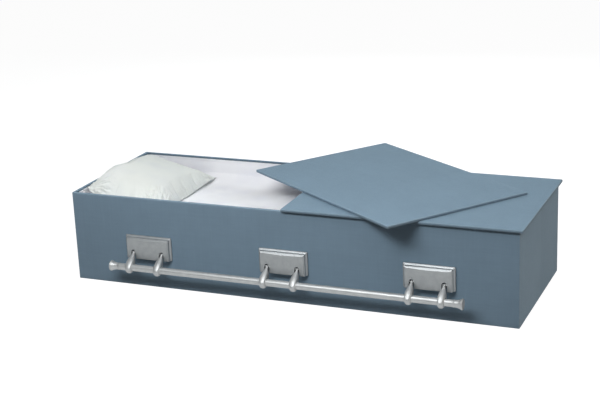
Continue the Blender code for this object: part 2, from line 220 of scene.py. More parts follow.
class Signal:
    """A shader value; working with it adds Math nodes."""

    def __init__(self, finish, socket):
        self.finish = finish
        self.socket = socket

    def math(self, operation, *values):
        return self.finish.math(operation, self, *values)

    def __add__(self, other):
        return self.math("ADD", other)

    def __sub__(self, other):
        return self.math("SUBTRACT", other)

    def __mul__(self, other):
        return self.math("MULTIPLY", other)

    def __rsub__(self, other):
        return self.finish.math("SUBTRACT", other, self)

    __radd__ = __add__
    __rmul__ = __mul__

    def __abs__(self):
        return self.math("ABSOLUTE")

    def __gt__(self, other):
        return self.math("GREATER_THAN", other)

    def __lt__(self, other):
        return self.math("LESS_THAN", other)

    def sine(self):
        return self.math("SINE")

    def rise(self, low, high):
        """0 below one value, 1 above another, smooth between."""
        settings = {"interpolation_type": "SMOOTHSTEP"}
        sockets = {"Value": self, "From Min": low, "From Max": high}
        return self.finish.node("ShaderNodeMapRange", settings, sockets)


class Finish:
    """One procedural material with the nodes that make it."""

    def __init__(self, name, **constants):
        self.material = bpy.data.materials.new(name)
        self.material.use_nodes = True
        self.tree = self.material.node_tree
        self.shader = self.tree.nodes["Principled BSDF"]
        for socket_name, value in constants.items():
            self.feed(self.shader.inputs[socket_name.replace("_", " ")], value)

    def feed(self, socket, value):
        if isinstance(value, Signal):
            self.tree.links.new(value.socket, socket)
        else:
            socket.default_value = value

    def node(self, kind, settings=None, sockets=None, output=0):
        """Add a node: its settings first, then the values or links of its sockets."""
        made = self.tree.nodes.new(kind)
        for key, value in (settings or {}).items():
            setattr(made, key, value)
        for key, value in (sockets or {}).items():
            self.feed(made.inputs[key], value)
        return Signal(self, made.outputs[output])

    def math(self, operation, *values):
        return self.node("ShaderNodeMath", {"operation": operation}, dict(enumerate(values)))

    def place(self):
        """The point on the piece, in metres."""
        return self.node("ShaderNodeTexCoord", output="Object")

    def moved(self, place, scale=(1, 1, 1), turn=0.0, shift=(0, 0, 0)):
        sockets = {"Vector": place, "Location": shift, "Rotation": (0, 0, turn), "Scale": scale}
        return self.node("ShaderNodeMapping", None, sockets)

    def split(self, vector):
        made = self.node("ShaderNodeSeparateXYZ", None, {0: vector}).socket.node
        return [Signal(self, output) for output in made.outputs]

    def noise(self, place, scale, detail=2.0, roughness=0.5):
        sockets = {"Vector": place, "Scale": scale, "Detail": detail, "Roughness": roughness}
        return self.node("ShaderNodeTexNoise", None, sockets)

    def mix(self, factor, first, second):
        """Blend two colours."""
        sockets = {0: factor, 6: first, 7: second}
        return self.node("ShaderNodeMix", {"data_type": "RGBA"}, sockets, output=2)

    def shade(self, colour, factor):
        """A colour times a value."""
        sockets = {0: 1.0, 6: colour, 7: factor}
        settings = {"data_type": "RGBA", "blend_type": "MULTIPLY"}
        return self.node("ShaderNodeMix", settings, sockets, output=2)

    def bump(self, height, depth, strength=1.0, under=None):
        sockets = {"Height": height, "Distance": depth, "Strength": strength}
        if under:
            sockets["Normal"] = under
        return self.node("ShaderNodeBump", None, sockets)

    def set(self, **signals):
        for socket_name, signal in signals.items():
            self.feed(self.shader.inputs[socket_name.replace("_", " ")], signal)
        return self.material


def rgb(red, green, blue):
    return (red, green, blue, 1.0)


def weave(finish, place, pitch, slub):
    """Threads along both directions of whichever face the cloth lies on."""
    loose = finish.noise(place, 90.0, 2.0)
    normal = finish.node("ShaderNodeNewGeometry", output="Normal")
    threads = None
    for along, facing in zip(finish.split(place), finish.split(normal)):
        wave = (along * (2 * math.pi / pitch) + loose * slub).sine()
        part = wave * (1.0 - abs(facing))
        threads = part if threads is None else threads + part
    return threads * 0.25 + 0.5


def cover_cloth(name, edges, turn=0.0, centre=(0.0, 0.0), hem_and_shade=None):
    """Blue grey cloth: fine weave, long uneven yarns, and a painted highlight that makes it paler
    along the edges.
    """
    finish = Finish(name, Roughness=0.86, Sheen_Weight=0.22, Sheen_Roughness=0.45,
                    Specular_IOR_Level=0.28)
    finish.feed(finish.shader.inputs["Sheen Tint"], rgb(*COVER_SHEEN))
    cos, sin = math.cos(-turn), math.sin(-turn)
    shift = (-(cos * centre[0] - sin * centre[1]), -(sin * centre[0] + cos * centre[1]), 0)
    place = finish.moved(finish.place(), turn=-turn, shift=shift)
    yarns = finish.noise(finish.moved(place, (14, 320, 320)), 1.0, 3.0)
    picks = finish.noise(finish.moved(place, (320, 320, 14)), 1.0, 3.0)
    cloudy = finish.noise(place, 3.2, 4.0, 0.6)
    slubs = finish.noise(finish.moved(place, (5, 105, 105)), 1.0, 2.0)
    slubs = slubs + finish.noise(finish.moved(place, (105, 105, 5)), 1.0, 2.0)
    patches = finish.noise(place, 17.0, 3.0, 0.6)
    tone = 0.73 + yarns * 0.07 + picks * 0.06 + cloudy * 0.16 + patches * 0.08 + slubs * 0.08
    # Painted highlight: the cloth is made paler along the edges, where they catch the light.
    highlit_edges = edge_highlight(finish, place, edges)
    colour = finish.mix(highlit_edges * 0.30, rgb(*COVER_BLUE), rgb(*COVER_PALE))
    if hem_and_shade:
        colour = hem_and_shade(finish, place, colour)
    threads = weave(finish, place, 0.0016, 3.0)
    lumps = finish.noise(place, 260.0, 3.0, 0.6)
    rough = 0.82 + lumps * 0.12
    normal = finish.bump(threads * 0.7 + lumps * 0.5 + yarns * 0.4, 0.00035)
    normal = finish.bump(cloudy, 0.0012, 0.6, normal)
    return finish.set(Base_Color=finish.shade(colour, tone), Roughness=rough, Normal=normal)


def edge_highlight(finish, place, edges):
    """1 along the edges of a block, found where two of its faces are near; this is where a
    highlight is painted.

    The edges give each axis's middle and half size.
    """
    near = None
    for along, (middle, half) in zip(finish.split(place), edges):
        closeness = abs(along - middle).rise(half - 0.0055, half - 0.0005)
        near = closeness if near is None else near + closeness
    return (near + finish.noise(place, 45.0, 3.0) * 0.5).rise(1.25, 2.3)


def box_seam_and_shade(finish, place, colour):
    """A lapped seam on the foot end, mitred creases on the rim, bare board underneath, and painted
    shade on the cloth turned in over the rim's inner face.
    """
    x, y, z = finish.split(place)
    half_x, half_y = BOX_LENGTH / 2, BOX_WIDTH / 2
    on_end = x > half_x - 0.004
    lap = (y > SEAM_Y) * on_end
    off_seam = abs(y - SEAM_Y).rise(0.0, SEAM_WIDTH)
    on_rim = z > BOX_HEIGHT - 0.003
    off_mitre = abs(abs(x) - abs(y) - (half_x - half_y)).rise(0.0, MITRE_WIDTH)
    inner_face = (abs(x) < half_x - 0.009) * (abs(y) < half_y - 0.009)
    # Painted shade: the strip of cloth turned in over the rim, between the cover and the lining,
    # is darkened.
    shaded_inner_strip = (z > 0.3) * (z < BOX_HEIGHT - 0.0012) * inner_face
    shade = (1.0 - lap * 0.05) * (1.0 - on_end * (1.0 - off_seam) * 0.18)
    shade = shade * (1.0 - on_rim * (1.0 - off_mitre) * 0.35) * (1.0 - shaded_inner_strip * 0.45)
    inside_turn = (abs(x) < half_x - TURN_UNDER) * (abs(y) < half_y - TURN_UNDER)
    under = finish.mix((z < 0.002) * inside_turn, colour, rgb(*BARE_BOARD))
    return finish.shade(under, shade)


def lid_hem_and_shade(low_face):
    """Cloth turned under round a plain white facing, with painted shade darkening the panel's side
    faces, and more so towards their lower edge.
    """
    def hem_and_shade(finish, place, colour):
        x, y, z = finish.split(place)
        # Painted shade: darker side faces, darker still towards the lower edge where the panel
        # rests on what is below it.
        side = 1.0 - z.rise(low_face + LID_THICKNESS - 0.0045, low_face + LID_THICKNESS - 0.0010)
        lower = 1.0 - z.rise(low_face + 0.0010, low_face + 0.0075)
        colour = finish.shade(colour, (1.0 - side * 0.12) * (1.0 - lower * 0.28))
        inside = (abs(x) < LID_LENGTH / 2 - TURN_UNDER) * (abs(y) < LID_WIDTH / 2 - TURN_UNDER)
        return finish.mix(inside * (z < low_face + 0.002), colour, rgb(*LID_FACING))
    return hem_and_shade


def white_cloth(name, colour, crinkle, depth, rim=None):
    """Thin white cloth with a fine crinkle and faint cool patches, and painted shade darkening it
    towards a rim.

    The rim is the highest corner of the piece that the cloth covers.
    """
    finish = Finish(name, Sheen_Weight=0.12, Sheen_Roughness=0.4, Specular_IOR_Level=0.25)
    place = finish.place()
    grain = finish.noise(place, crinkle, 3.0, 0.65)
    threads = weave(finish, place, 0.0011, 2.0)
    cloudy = finish.noise(place, 7.0, 3.0)
    patch = [part * cooler for part, cooler in zip(colour, COOL_PATCH)]
    cool = finish.mix(cloudy.rise(0.35, 0.75), rgb(*colour), rgb(*patch))
    tone = 0.975 + grain * 0.05
    if rim:
        # Painted shade: the cloth is made darker towards the walls at the rim.
        x, y, z = finish.split(place)
        near = (abs(x).rise(rim.x - RIM_SHADE_REACH, rim.x)
                + abs(y).rise(rim.y - RIM_SHADE_REACH, rim.y))
        tone = tone * (1.0 - near * 0.11)
    normal = finish.bump(grain + threads * 0.35, depth)
    rough = 0.66 + grain * 0.2
    return finish.set(Base_Color=finish.shade(cool, tone), Roughness=rough, Normal=normal)


def satin_metal(name, dull, bright, metallic, smooth, clouded, depth):
    """Plated metal: a soft even satin with slight clouding and a fine cast skin."""
    finish = Finish(name, Metallic=metallic, Specular_IOR_Level=0.5)
    place = finish.place()
    cloudy = finish.noise(place, 38.0, 4.0, 0.6)
    pitted = finish.noise(place, 900.0, 3.0, 0.6)
    drawn = finish.noise(finish.moved(place, (6, 700, 700)), 1.0, 2.0)
    colour = finish.mix(cloudy.rise(0.3, 0.75), rgb(*dull), rgb(*bright))
    rough = smooth + cloudy * clouded + drawn * clouded * 0.5
    normal = finish.bump(pitted + drawn * 0.6, depth)
    return finish.set(Base_Color=colour, Roughness=rough, Normal=normal)


# Mesh helpers

def skin(rings, cap_first=True, cap_last=True):
    """Join closed rings of equal point counts, and close the ends."""
    bm = bmesh.new()
    loops = [[bm.verts.new(point) for point in ring] for ring in rings]
    count = len(loops[0])
    for lower, upper in zip(loops, loops[1:]):
        for i in range(count):
            j = (i + 1) % count
            bm.faces.new((lower[i], lower[j], upper[j], upper[i]))
    if cap_first:
        bm.faces.new(reversed(loops[0]))
    if cap_last:
        bm.faces.new(loops[-1])
    return bm


def to_mesh(name, bm, sharp=40):
    bmesh.ops.recalc_face_normals(bm, faces=bm.faces)
    mesh = bpy.data.meshes.new(name)
    bm.to_mesh(mesh)
    bm.free()
    mesh.shade_smooth()
    mesh.set_sharp_from_angle(angle=math.radians(sharp))
    return mesh


def add_piece(name, mesh, material, body, slot, *nodes):
    """Put a piece in the scene, riding on its body in the place of its CAD nodes."""
    piece = bpy.data.objects.new(name, mesh)
    bpy.context.scene.collection.objects.link(piece)
    piece.data.materials.clear()
    piece.data.materials.append(material)
    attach(piece, body)
    if nodes:
        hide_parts(*nodes)
    return piece


def smoothly(t):
    t = min(max(t, 0.0), 1.0)
    return t * t * (3 - 2 * t)


def wander(point, size, seed=0.0):
    """Even, repeatable unevenness from -1 to 1 with features of a given size."""
    return noise.noise(Vector(point) / size + Vector((seed, seed * 0.7, seed * 1.3)))


def outline(half_x, half_y, radius, long_count, short_count, corner_count):
    """Points round a rectangle with rounded corners, closer together near the corners.

    It starts on the side that faces +X and runs round towards +Y.
    """
    radius = max(radius, 0.0004)
    points = []
    sides = ((1, 0, short_count), (0, 1, long_count), (-1, 0, short_count), (0, -1, long_count))
    for quarter, (nx, ny, count) in enumerate(sides):
        half = half_y if nx else half_x
        reach = half - radius
        for i in range(count):
            along = -math.cos(math.pi * i / count) * 0.35 + (2 * i / count - 1) * 0.65
            along *= reach
            if nx:
                points.append(Vector((nx * half_x, nx * along)))
            else:
                points.append(Vector((-ny * along, ny * half_y)))
        corner_x = half_x - radius if quarter in (0, 3) else radius - half_x
        corner_y = half_y - radius if quarter in (0, 1) else radius - half_y
        for i in range(corner_count):
            angle = math.pi / 2 * (quarter + i / corner_count)
            points.append(Vector((corner_x + radius * math.cos(angle),
                                  corner_y + radius * math.sin(angle))))
    return points


# Cloth cover and lid panels

def quarter_turn(steps=4):
    """Unit points round a quarter circle, from upright to level."""
    angles = [math.pi / 2 - math.pi / 2 * i / steps for i in range(steps + 1)]
    return [(math.cos(a), math.sin(a)) for a in angles]


def cover_profile():
    """The cover's section as inset and height, from underneath, over the rim, to the floor."""
    r = CLOTH_ROUND
    top = BOX_HEIGHT
    mid_floor, half_floor, wall_rows = 0.33, 0.2, 22
    rows = [(mid_floor, UNDER_HOLLOW), (half_floor, UNDER_HOLLOW), (TURN_UNDER, UNDER_HOLLOW),
            (TURN_UNDER, 0.0), (r * 3, 0.0)]
    rows += [(r - r * c, r - r * s) for s, c in reversed(quarter_turn())]
    rows += [(0.0, r + (top - 2 * r) * i / wall_rows) for i in range(1, wall_rows)]
    rows += [(r - r * s, top - r + r * c) for c, s in quarter_turn()]
    inner = BOARD - r
    rows += [(r + (inner - r) * 0.5, top)]
    rows += [(inner + r * c, top - r + r * s) for c, s in quarter_turn()]
    rows += [(BOARD, top - 4 * r), (BOARD, top / 2), (BOARD, BOARD), (half_floor, BOARD),
             (mid_floor, BOARD)]
    return rows


def make_cover(material):
    """One cloth skin over the five boards, turned over the rim and under the floor."""
    half_x, half_y = BOX_LENGTH / 2, BOX_WIDTH / 2
    rings = []
    for inset, z in cover_profile():
        corner = max(CLOTH_ROUND * 1.2 - inset, 0.0012)
        on_wall = smoothly((z - 0.004) / 0.03) * smoothly((BOX_HEIGHT - 0.004 - z) / 0.03)
        ring = []
        for p in outline(half_x - inset, half_y - inset, corner, 96, 40, 6):
            if inset == 0 and on_wall > 0:
                on_end = abs(p.x) > half_x - 0.0005
                outward = Vector((math.copysign(on_end, p.x), math.copysign(not on_end, p.y)))
                p += outward * (CLOTH_UNEVEN * on_wall * (wander((p.x, p.y, z), 0.16) - 0.2))
            ring.append(Vector((p.x, p.y, z)))
        rings.append(ring)
    mesh = to_mesh("cloth_cover", skin(rings), 50)
    add_piece("cloth_cover", mesh, material, "root", "cover_cloth", "floor_board",
              "near_side_board", "far_side_board", "head_end_board", "foot_end_board")


def make_lid(name, node, material, centre, turn, seed):
    """A board with cloth drawn round it: soft edges and a barely uneven face."""
    half = Vector((LID_LENGTH / 2, LID_WIDTH / 2, LID_THICKNESS / 2))
    bm = bmesh.new()
    bmesh.ops.create_cube(bm, size=2.0)
    bmesh.ops.scale(bm, vec=half, verts=bm.verts)
    bmesh.ops.bevel(bm, geom=bm.edges[:], offset=LID_ROUND, segments=4, profile=0.5,
                    affect="EDGES")
    for axis, reach in enumerate((half.x - LID_ROUND, half.y - LID_ROUND)):
        cuts = int(2 * reach / LID_GRID)
        for i in range(1, cuts):
            point, normal = Vector(), Vector()
            point[axis] = -reach + 2 * reach * i / cuts
            normal[axis] = 1.0
            bmesh.ops.bisect_plane(bm, geom=bm.verts[:] + bm.edges[:] + bm.faces[:],
                                   plane_co=point, plane_no=normal, dist=1e-6)
    for vert in bm.verts:
        point = vert.co
        to_end, to_side = half.x - abs(point.x), half.y - abs(point.y)
        flat = smoothly(to_end / 0.02) * smoothly(to_side / 0.02)
        if point.z > 0:
            point.z += LID_UNEVEN * flat * wander(point, 0.11, seed) - 0.0002 * flat
        uneven = LID_EDGE_UNEVEN * (1 - smoothly(to_side / 0.006))
        point.y += math.copysign(uneven, point.y) * wander(point, 0.09, seed + 3)
        uneven = LID_EDGE_UNEVEN * (1 - smoothly(to_end / 0.006))
        point.x += math.copysign(uneven, point.x) * wander(point, 0.09, seed + 5)
    bm.transform(Matrix.Translation(centre) @ Matrix.Rotation(turn, 4, "Z"))
    add_piece(name, to_mesh(name, bm, 50), material, "root", "cover_cloth", node)


# White lining, bed and pillow

def make_lining(material):
    """Cloth round the inner walls with a rolled top edge and a slight puff above the bed."""
    low, high = corners("wall_lining")
    half_x, half_y = high.x, high.y
    top, base = high.z, low.z
    bed_top = corners("mattress")[1].z
    bead, steps = LINING_BEAD, 12
    behind = [(0.0, base), (0.0, bed_top), (0.0, top - bead)]
    behind += [(bead - bead * math.cos(a), top - bead + bead * math.sin(a))
               for a in [math.pi * i / 8 for i in range(1, 9)]]
    front = [(LINING_THICKNESS, top - bead * 2.6)]
    front += [(LINING_THICKNESS, top - bead * 3 - (top - bead * 3 - bed_top) * i / steps)
              for i in range(1, steps + 1)]
    front += [(LINING_THICKNESS, bed_top - 0.03), (LINING_THICKNESS, base)]
    rings = []
    for row, (inset, z) in enumerate(behind + front):
        hang = smoothly((top - 0.008 - z) / 0.03) * smoothly((z - bed_top + 0.02) / 0.03)
        radius = LINING_CORNER if inset > 0 else 0.002
        ring = []
        for p in outline(half_x - inset, half_y - inset, radius, 150, 64, 8):
            if row >= len(behind):
                fullness = 0.55 + 0.3 * wander((p.x, p.y, z), 0.3, 9.0)
                ripple = wander((p.x * 1.6, p.y * 1.6, z * 0.35), 0.05, 2.0)
                puff = hang * (LINING_PUFF * fullness + LINING_RIPPLE * ripple)
                flat_x = abs(p.x) < half_x - LINING_CORNER
                flat_y = abs(p.y) < half_y - LINING_CORNER
                p += Vector((0 if flat_x else -math.copysign(puff, p.x),
                             0 if flat_y else -math.copysign(puff, p.y)))
            ring.append(Vector((p.x, p.y, z)))
        rings.append(ring)
    bm = bmesh.new()
    loops = [[bm.verts.new(point) for point in ring] for ring in rings]
    for lower, upper in zip(loops, loops[1:] + loops[:1]):
        for i in range(len(lower)):
            j = (i + 1) % len(lower)
            bm.faces.new((lower[i], lower[j], upper[j], upper[i]))
    piece = add_piece("lining_cloth", to_mesh("lining_cloth", bm, 60), material, "root",
                      "lining_cloth", "wall_lining")


def bed_height(x, y, half_x, half_y, top):
    """The bed's cloth: softly uneven and faintly creased, sweeping up to the walls."""
    to_wall = min(half_x - abs(x), half_y - abs(y))
    sweep = BED_SWEEP_SHARE * max(0.0, 1 - to_wall / BED_SWEEP)
    lift = BED_LIFT * (1 - math.sqrt(1 - sweep * sweep)) / BED_SWEEP_RISE
    soft = BED_UNEVEN * wander((x, y * 1.4, 0), 0.17, 4.0)
    soft += 0.0009 * wander((x * 0.7, y, 0), 0.06, 8.0)
    creased = abs(wander((x + 0.35 * y, y * 0.6, 0), 0.075, 12.0))
    crease = -BED_CREASE * max(0.0, 1 - creased * 6)
    calm = smoothly(to_wall / 0.03)
    return top - BED_SINK + lift + (soft + crease) * calm


def crowded(half, count):
    """Places from one side to the other, closer together towards both."""
    return [half * (0.5 * (2 * i / count - 1) - 0.5 * math.cos(math.pi * i / count))
            for i in range(count + 1)]


def make_bed(material):
    """A padded bed under one cloth."""
    low, high = corners("mattress")
    columns, lines = 200, 72
    bm = bmesh.new()
    grid = {}
    for i, x in enumerate(crowded(high.x, columns)):
        for j, y in enumerate(crowded(high.y, lines)):
            grid[i, j] = bm.verts.new((x, y, bed_height(x, y, *high)))
    for i in range(columns):
        for j in range(lines):
            bm.faces.new((grid[i, j], grid[i + 1, j], grid[i + 1, j + 1], grid[i, j + 1]))
    rim = [grid[i, 0] for i in range(columns)] + [grid[columns, j] for j in range(lines)]
    rim += [grid[i, lines] for i in range(columns, 0, -1)]
    rim += [grid[0, j] for j in range(lines, 0, -1)]
    lower = [bm.verts.new((v.co.x, v.co.y, low.z)) for v in rim]
    for i in range(len(rim)):
        j = (i + 1) % len(rim)
        bm.faces.new((rim[i], rim[j], lower[j], lower[i]))
    bm.faces.new(reversed(lower))
    piece = add_piece("padded_bed", to_mesh("padded_bed", bm, 60), material, "root",
                      "lining_cloth", "mattress")


def pillow_point(u, v, side, slack):
    """A point of the case over the square -1..1, with its sides pulled in and one full ear."""
    x = PILLOW_DEPTH / 2 * u * (1 - PILLOW_PULL_IN * (1 - v * v) * u * u)
    y = PILLOW_WIDTH / 2 * v * (1 - PILLOW_PULL_IN * (1 - u * u) * v * v)
    off_crest = v - PILLOW_CREST_SHIFT
    reach = 1 - math.copysign(PILLOW_CREST_SHIFT, off_crest * PILLOW_CREST_SHIFT)
    across = 1 - (off_crest / reach) ** 2
    along = 1 - abs(u) ** (3.6 if u > 0 else 7.0)
    full = max(0.0, across * along)
    height = PILLOW_CROWN if side > 0 else -PILLOW_BELLY
    sag = PILLOW_NEAR_SAG * max(0.0, -v) ** 3 * along
    ear = PILLOW_EAR * bell((u + 0.82) / 0.50) * bell((v + 0.70) / 0.62) * full ** 0.3
    return Vector((x, y, slack * height * full ** 0.8 - sag + (ear if side > 0 else 0.0)))


def bell(t):
    """1 in the middle and 0 beyond -1 and 1."""
    return max(0.0, 1 - t * t) ** 2


def creases(along, away, width, seed):
    """Sharp crested creases that run away from a seam, from about -1 to 1."""
    return 1 - 3.0 * abs(wander((along + 0.12 * away, away * 0.2, 0.0), width, seed))


def gather(along, away, reach, width, seed):
    """The cloth's small creases where it is gathered into a seam, in patches."""
    patch = smoothly(0.55 + 1.5 * wander((along, 0.0, 0.0), width * 6, seed + 5))
    length = reach * (0.5 + 0.9 * abs(wander((along, 0.0, 0.0), width * 2.2, seed + 11)))
    fade = smoothly(1 - away / length) * smoothly(away / 0.005)
    return patch * fade * creases(along, away, width, seed)


def corner_folds(x, y, reach, spread, seed):
    """Folds that fan out from a corner whose sides run along x and y."""
    away = math.hypot(x, y)
    if away > reach:
        return 0.0
    turn = math.atan2(y, x)
    wave = wander((turn * 0.1 + 0.08 * away, away * 0.25, 0.0), spread, seed)
    fade = smoothly(away / (0.22 * reach)) * smoothly((reach - away) / (0.6 * reach))
    return fade * (1 - 3.2 * abs(wave))


def pillow_crease(x, y):
    """How far the pillow's upper cloth stands out at a point of its own plane, in metres."""
    to_head, to_foot = x + PILLOW_DEPTH / 2, PILLOW_DEPTH / 2 - x
    to_near, to_far = y + PILLOW_WIDTH / 2, PILLOW_WIDTH / 2 - y
    out = 0.0
    for height, along, away, reach, width, seed in (
            (0.0044, x, to_near, 0.120, 0.0080, 3.0), (0.0040, y, to_foot, 0.130, 0.0080, 17.0),
            (0.0014, x, to_far, 0.050, 0.0080, 29.0), (0.0014, y, to_head, 0.060, 0.0090, 41.0)):
        out += height * gather(along, away, reach, width, seed)
    for height, to_end, to_side, reach, spread, seed in (
            (0.0064, to_foot, to_near, 0.20, 0.0110, 53.0),
            (0.0052, to_head, to_near, 0.14, 0.0100, 61.0),
            (0.0034, to_foot, to_far, 0.13, 0.0085, 71.0),
            (0.0016, to_head, to_far, 0.09, 0.0120, 83.0)):
        out += height * corner_folds(to_end, to_side, reach, spread, seed)
    crumpled = bell(math.hypot(to_head, to_near) / 0.11)
    out += 0.0062 * crumpled * wander((x, y, 0.0), 0.015, 91.0)
    out += 0.0018 * wander((x, y, 0.0), 0.06, 97.0)
    return out


def eased(cells):
    """Places from -1 to 1, a little closer together at both ends."""
    even = [2 * i / cells - 1 for i in range(cells + 1)]
    places = [math.sin(math.pi / 2 * t * 0.999) * 0.45 + t * 0.55 for t in even]
    places[0], places[-1] = -1.0, 1.0
    return places


def pillow_case(cells_u, cells_v, slack):
    """Two faces of cloth sewn together round the edge, with the seam's points."""
    bm = bmesh.new()
    seam = {}
    for side in (1, -1):
        grid = {}
        for i, u in enumerate(eased(cells_u)):
            for j, v in enumerate(eased(cells_v)):
                if i in (0, cells_u) or j in (0, cells_v):
                    if (i, j) not in seam:
                        seam[i, j] = bm.verts.new(pillow_point(u, v, side, slack))
                    grid[i, j] = seam[i, j]
                else:
                    grid[i, j] = bm.verts.new(pillow_point(u, v, side, slack))
        for i in range(cells_u):
            for j in range(cells_v):
                face = (grid[i, j], grid[i + 1, j], grid[i + 1, j + 1], grid[i, j + 1])
                bm.faces.new(face if side > 0 else reversed(face))
    bm.verts.index_update()
    held = [vert.index for vert in seam.values()]
    mesh = bpy.data.meshes.new("pillow_case")
    bm.to_mesh(mesh)
    bm.free()
    return mesh, held


def blow_up(mesh, held, frames, growth, pressure, most):
    """Let cloth swell under pressure with some points held; return where its points end."""
    case = bpy.data.objects.new("pillow_case", mesh)
    bpy.context.scene.collection.objects.link(case)
    before = [vert.co.copy() for vert in mesh.vertices]
    group = case.vertex_groups.new(name="held")
    group.add(held, 1.0, "REPLACE")
    cloth = case.modifiers.new("cloth", "CLOTH")
    settings = cloth.settings
    settings.quality = 7
    settings.mass = 0.25
    settings.tension_stiffness = 14
    settings.compression_stiffness = 8
    settings.shear_stiffness = 4
    settings.bending_stiffness = 0.08
    settings.use_pressure = True
    settings.uniform_pressure_force = pressure
    settings.shrink_min = -growth
    settings.vertex_group_mass = "held"
    settings.effector_weights.gravity = 0.0
    cloth.collision_settings.use_collision = False
    cloth.point_cache.frame_start = 1
    cloth.point_cache.frame_end = frames
    scene = bpy.context.scene
    for number in range(1, frames + 1):
        scene.frame_set(number)
    graph = bpy.context.evaluated_depsgraph_get()
    after = [vert.co.copy() for vert in case.evaluated_get(graph).to_mesh().vertices]
    bpy.data.objects.remove(case, do_unlink=True)
    scene.frame_set(1)
    result = []
    for old, new in zip(before, after):
        step = new - old
        if step.length > most:
            step *= most / step.length
        result.append(old + step)
    return result


def settle_pillow(mesh):
    """Tilt the pillow up to the head end; it lies flat on the bed and against the walls."""
    low, high = corners("pillow")
    bed = corners("mattress")[1]
    turn = Matrix.Rotation(PILLOW_TILT, 3, "Y")
    for vert in mesh.vertices:
        to_foot = smoothly((vert.co.x / (PILLOW_DEPTH / 2) - 0.3) / 0.65)
        to_far = smoothly((vert.co.y / (PILLOW_WIDTH / 2) - 0.1) / 0.8)
        vert.co.z += to_foot * (PILLOW_FAR_LIFT * to_far - PILLOW_FOOT_DROP * (1 - to_far))
        vert.co = turn @ vert.co
    headmost = min(vert.co.x for vert in mesh.vertices)
    shift = Vector((low.x - headmost, (low.y + high.y) / 2, bed.z + PILLOW_RISE))
    for vert in mesh.vertices:
        point = vert.co + shift
        point.x = max(point.x, PILLOW_WALL_GAP - bed.x)
        point.y = max(point.y, PILLOW_WALL_GAP - bed.y)
        point.z = max(point.z, bed_height(point.x, point.y, *bed) + PILLOW_BED_GAP)
        vert.co = point


def refined(mesh, levels):
    """The mesh with its subdivision applied."""
    holder = bpy.data.objects.new("holder", mesh)
    bpy.context.scene.collection.objects.link(holder)
    fine = holder.modifiers.new("fine", "SUBSURF")
    fine.levels = fine.render_levels = levels
    graph = bpy.context.evaluated_depsgraph_get()
    result = bpy.data.meshes.new_from_object(holder.evaluated_get(graph))
    bpy.data.objects.remove(holder, do_unlink=True)
    return result


def make_pillow(material):
    """A case filled by simulation, then creased along its seams."""
    mesh, seam = pillow_case(*PILLOW_CELLS, PILLOW_SLACK)
    filled = blow_up(mesh, seam, frames=20, growth=0.03, pressure=3.0, most=0.009)
    for vert, point in zip(mesh.vertices, filled):
        vert.co = point
    mesh = refined(mesh, 2)
    outward = [vert.normal.copy() for vert in mesh.vertices]
    for vert, normal in zip(mesh.vertices, outward):
        upper = smoothly((normal.z + 0.1) / 0.3)
        if upper > 0:
            vert.co += normal * (pillow_crease(vert.co.x, vert.co.y) * upper)
    settle_pillow(mesh)
    mesh.shade_smooth()
    piece = add_piece("pillow_cushion", mesh, material, "root", "pillow_cloth", "pillow")


# Handles

def plate_ring(inset, depth, camber=0.0, sag=0.0):
    """The plate's outline set in by an amount, at a depth out from the wall.

    Towards the plate's middle the face bows outward and its upper edge sags.
    """
    half_x = PLATE_LENGTH / 2 - inset
    top = PLATE_HEIGHT / 2 - inset
    base = PLATE_HEIGHT / 2 - inset * BASE_INSET_SHARE
    middle, half_z = (top - base) / 2, (top + base) / 2
    ring = []
    for p in outline(half_x, half_z, max(PLATE_CORNER - inset, 0.0012), 36, 12, 5):
        bow = 1 - (p.x / (PLATE_LENGTH / 2)) ** 2
        fall = sag * bow * max(0.0, p.y / half_z)
        ring.append(Vector((p.x, -(depth + camber * bow), p.y + middle - fall)))
    return ring


def plate_body():
    """A bevelled rim, a riser, and a chamfer that runs up to a face bowed outward."""
    face = PLATE_DEPTH - PLATE_CAMBER
    rings = [plate_ring(inset, depth) for inset, depth in RIM_ROWS]
    start, step = RIM_ROWS[-1]
    for share in CHAMFER_ROWS:
        soft = CHAMFER_SOFT * smoothly((share - 0.6) / 0.4)
        rings.append(plate_ring(start + CHAMFER_WIDTH * share, step + (face - step) * share - soft,
                                PLATE_CAMBER * share, PLATE_SAG * share))
    end = start + CHAMFER_WIDTH
    for beyond, share in FACE_ROWS:
        rings.append(plate_ring(end + beyond, face, PLATE_CAMBER, PLATE_SAG * share))
    return skin(rings)


def arch(centre, grow, below):
    """A notch's outline in X and Z: round above, a little wider below."""
    radius = NOTCH_WIDTH / 2 + grow
    top = PIVOT_ABOVE_PLATE_BASE - PLATE_HEIGHT / 2 + NOTCH_RISE - NOTCH_WIDTH / 2
    angles = [math.pi * i / 24 for i in range(25)]
    points = [(centre + radius * math.cos(a), top + radius * math.sin(a)) for a in angles]
    for share in (0.3, 0.6, 1.0):
        points.append((centre - radius - NOTCH_FLARE * share, top + (below - top) * share))
    for share in (1.0, 0.6, 0.3):
        points.append((centre + radius + NOTCH_FLARE * share, top + (below - top) * share))
    return points


def notch_cutter(centre):
    """A notch with a rounded lip where it meets the face."""
    surface = -(PLATE_DEPTH - PLATE_CAMBER * (centre / (PLATE_LENGTH / 2)) ** 2)
    slope = 2 * PLATE_CAMBER * centre / (PLATE_LENGTH / 2) ** 2
    rings = []
    rows = [(0.0, PLATE_DEPTH), (0.0, surface + NOTCH_LIP)]
    for i in range(1, 5):
        angle = math.pi / 2 * i / 4
        rows.append((NOTCH_LIP * (1 - math.cos(angle)),
                     surface + NOTCH_LIP * (1 - math.sin(angle))))
    rows.append((NOTCH_LIP * 1.4, surface - NOTCH_LIP))
    for number, (grow, y) in enumerate(rows):
        lean = slope if number else 0.0
        rings.append([Vector((x, y + lean * (x - centre), z))
                      for x, z in arch(centre, grow, -PLATE_HEIGHT * 0.7)])
    return skin(rings)


